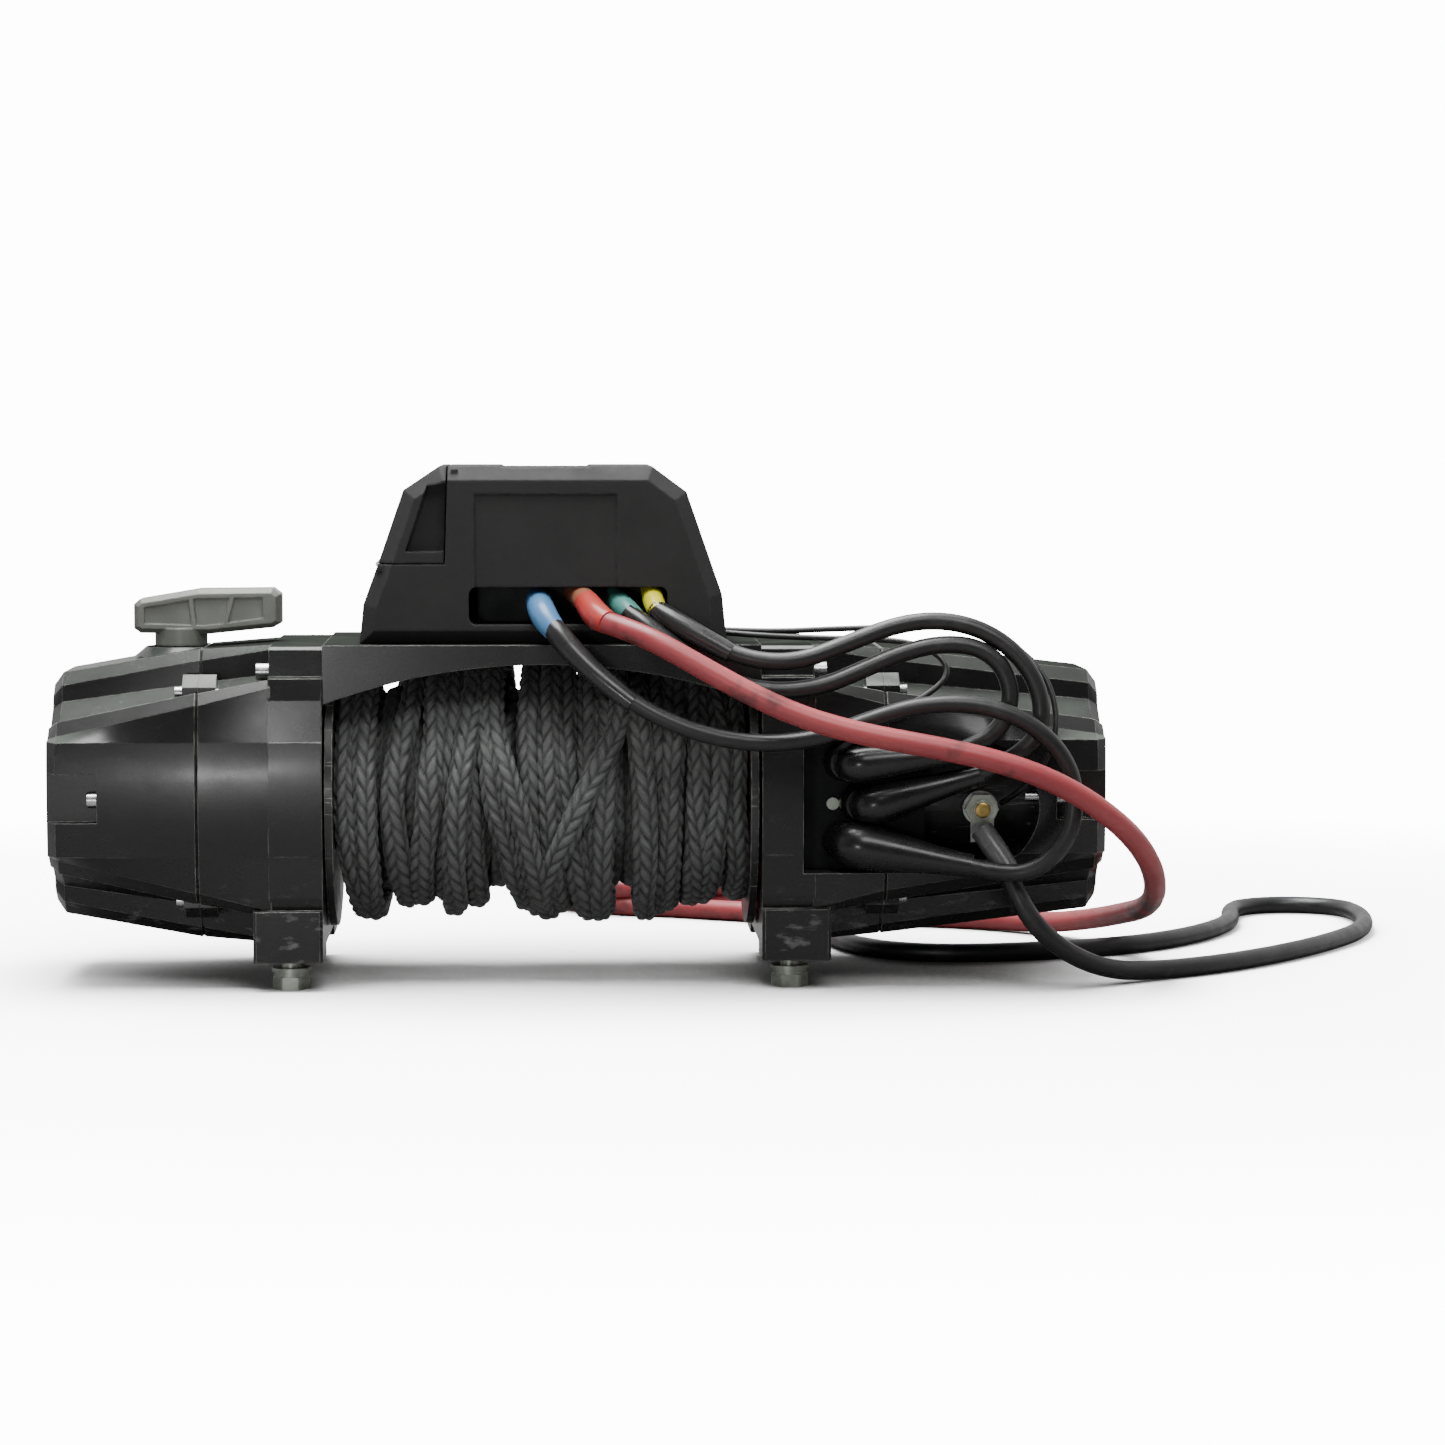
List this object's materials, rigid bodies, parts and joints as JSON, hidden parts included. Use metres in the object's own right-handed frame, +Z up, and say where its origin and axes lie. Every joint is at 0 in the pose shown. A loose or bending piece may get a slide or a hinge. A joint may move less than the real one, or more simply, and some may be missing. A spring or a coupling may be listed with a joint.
{
  "type": "electric winch",
  "caption": "Electric planetary winch with a horizontal rope drum, control pack, free-spool clutch lever and battery cables.",
  "frame": {"origin": "middle of the four mounting bolts, in the plane of the feet's undersides", "axes": "+Z up out of the mounting surface, +X along the drum towards the motor, -Y towards the side where the cables leave"},
  "size_m": [0.7236, 0.4927, 0.265],
  "materials": {
    "black_paint": "satin black powder coat over cast aluminium",
    "matte_black": "fine-grained matt moulded plastic",
    "olive_plastic": "satin grey-green moulded plastic",
    "bright_steel": "machined steel",
    "gear_steel": "hardened gear steel, oiled",
    "zinc": "zinc-plated steel, slightly greenish",
    "bronze": "sintered bronze",
    "rope_fibre": "charcoal braided synthetic fibre with a waxy sheen",
    "drum_paint": "black painted steel, worn bright at the flange rims",
    "copper_wound": "enamelled copper windings on steel laminations",
    "magnet": "sintered ferrite",
    "glossy_rubber": "glossy black soft rubber",
    "terminal_board": "black moulded insulating board",
    "black_cable": "semi-gloss black cable jacket",
    "red_cable": "dull red cable jacket, scuffed",
    "boots": "coloured soft rubber: blue, red, teal and yellow",
    "lug_tin": "tinned copper lug with a black sleeve",
    "board": "green circuit board with black components",
    "case_plastic": "black moulded contactor case"
  },
  "bodies": {
    "frame": {"gear_end_support": "black_paint", "motor_end_support": "black_paint", "gear_case": "black_paint", "motor_cover": "black_paint", "tie_plate": "black_paint", "tie_bolts": "bright_steel", "mounting_bolts": "zinc", "bolt_washers": "zinc", "foot_nuts": "zinc", "cover_screws": "bright_steel", "ring_gear": "gear_steel", "drum_bushings": "bronze", "motor_can": "drum_paint", "motor_magnets": "magnet", "motor_bearings": "bronze", "brush_holder": "case_plastic", "terminal_plate": "terminal_board", "terminal_studs": "zinc", "terminal_boots": "glossy_rubber", "ground_terminal": "zinc", "ground_lug": "lug_tin", "control_pack_cover": "matte_black", "control_pack_base": "matte_black", "door_pin": "bright_steel", "remote_socket": "case_plastic", "contactor": "case_plastic", "circuit_board": "board", "lead_boots": "boots", "motor_leads": "black_cable", "signal_wires": "black_cable", "red_cable": "red_cable", "red_coil": "red_cable", "red_lug": "lug_tin", "black_cable": "black_cable", "black_coil": "black_cable", "black_lug": "lug_tin"},
    "drum": {"drum": "drum_paint", "rope": "rope_fibre", "rope_clamp": "zinc", "brake_shoes": "magnet", "output_carrier": "gear_steel"},
    "stage_2": {"stage_2_carrier": "gear_steel"},
    "stage_1": {"stage_1_carrier": "gear_steel"},
    "rotor": {"drive_shaft": "gear_steel", "armature": "copper_wound", "brake_hub": "gear_steel"},
    "lever": {"clutch_lever": "olive_plastic", "clutch_shaft": "bright_steel"},
    "pin": {"clutch_pin": "bright_steel"},
    "door": {"socket_door": "matte_black"},
    "plunger": {"contactor_plunger": "bright_steel"},
    "planet_1a": {"planet_1a": "gear_steel"},
    "planet_1b": {"planet_1b": "gear_steel"},
    "planet_1c": {"planet_1c": "gear_steel"},
    "planet_2a": {"planet_2a": "gear_steel"},
    "planet_2b": {"planet_2b": "gear_steel"},
    "planet_2c": {"planet_2c": "gear_steel"},
    "planet_3a": {"planet_3a": "gear_steel"},
    "planet_3b": {"planet_3b": "gear_steel"},
    "planet_3c": {"planet_3c": "gear_steel"}
  },
  "joints": [
    {"name": "drum_spin", "type": "hinge", "parent": "frame", "child": "drum", "pos_m": [0, 0, 0.0825], "axis": [1, 0, 0], "continuous": true},
    {"name": "stage_2_spin", "type": "hinge", "parent": "frame", "child": "stage_2", "pos_m": [0, 0, 0.0825], "axis": [1, 0, 0], "continuous": true},
    {"name": "stage_1_spin", "type": "hinge", "parent": "frame", "child": "stage_1", "pos_m": [0, 0, 0.0825], "axis": [1, 0, 0], "continuous": true},
    {"name": "rotor_spin", "type": "hinge", "parent": "frame", "child": "rotor", "pos_m": [0, 0, 0.0825], "axis": [1, 0, 0], "continuous": true},
    {"name": "planet_1a_spin", "type": "hinge", "parent": "stage_1", "child": "planet_1a", "pos_m": [0, 0.027, 0.0825], "axis": [1, 0, 0], "continuous": true},
    {"name": "planet_1b_spin", "type": "hinge", "parent": "stage_1", "child": "planet_1b", "pos_m": [0, -0.0135, 0.10588], "axis": [1, 0, 0], "continuous": true},
    {"name": "planet_1c_spin", "type": "hinge", "parent": "stage_1", "child": "planet_1c", "pos_m": [0, -0.0135, 0.05912], "axis": [1, 0, 0], "continuous": true},
    {"name": "planet_2a_spin", "type": "hinge", "parent": "stage_2", "child": "planet_2a", "pos_m": [0, 0.027, 0.0825], "axis": [1, 0, 0], "continuous": true},
    {"name": "planet_2b_spin", "type": "hinge", "parent": "stage_2", "child": "planet_2b", "pos_m": [0, -0.0135, 0.10588], "axis": [1, 0, 0], "continuous": true},
    {"name": "planet_2c_spin", "type": "hinge", "parent": "stage_2", "child": "planet_2c", "pos_m": [0, -0.0135, 0.05912], "axis": [1, 0, 0], "continuous": true},
    {"name": "planet_3a_spin", "type": "hinge", "parent": "drum", "child": "planet_3a", "pos_m": [0, 0.027, 0.0825], "axis": [1, 0, 0], "continuous": true},
    {"name": "planet_3b_spin", "type": "hinge", "parent": "drum", "child": "planet_3b", "pos_m": [0, -0.0135, 0.10588], "axis": [1, 0, 0], "continuous": true},
    {"name": "planet_3c_spin", "type": "hinge", "parent": "drum", "child": "planet_3c", "pos_m": [0, -0.0135, 0.05912], "axis": [1, 0, 0], "continuous": true},
    {"name": "clutch_turn", "type": "hinge", "parent": "frame", "child": "lever", "pos_m": [-0.186, 0, 0.16], "axis": [0, 0, 1], "range_deg": [0, 90]},
    {"name": "pin_lift", "type": "slide", "parent": "frame", "child": "pin", "axis": [0, 0, 1], "range_m": [0, 0.0061]},
    {"name": "door_swing", "type": "hinge", "parent": "frame", "child": "door", "pos_m": [-0.082, 0, 0.2005], "axis": [0, -1, 0], "range_deg": [0, 110]},
    {"name": "plunger_travel", "type": "slide", "parent": "frame", "child": "plunger", "axis": [0, 0, 1], "range_m": [0, 0.003], "stiffness_N_per_m": 200, "springref_m": -0.002}
  ],
  "couplings": [
    {"joint": "stage_2_spin", "follows": "drum_spin", "ratio": 6},
    {"joint": "stage_1_spin", "follows": "drum_spin", "ratio": 36},
    {"joint": "rotor_spin", "follows": "drum_spin", "ratio": 216},
    {"joint": "planet_1a_spin", "follows": "drum_spin", "ratio": -90},
    {"joint": "planet_1b_spin", "follows": "drum_spin", "ratio": -90},
    {"joint": "planet_1c_spin", "follows": "drum_spin", "ratio": -90},
    {"joint": "planet_2a_spin", "follows": "drum_spin", "ratio": -15},
    {"joint": "planet_2b_spin", "follows": "drum_spin", "ratio": -15},
    {"joint": "planet_2c_spin", "follows": "drum_spin", "ratio": -15},
    {"joint": "planet_3a_spin", "follows": "drum_spin", "ratio": -2.5},
    {"joint": "planet_3b_spin", "follows": "drum_spin", "ratio": -2.5},
    {"joint": "planet_3c_spin", "follows": "drum_spin", "ratio": -2.5},
    {"joint": "pin_lift", "follows": "clutch_turn", "m_per_rad": 0.0038197}
  ]
}
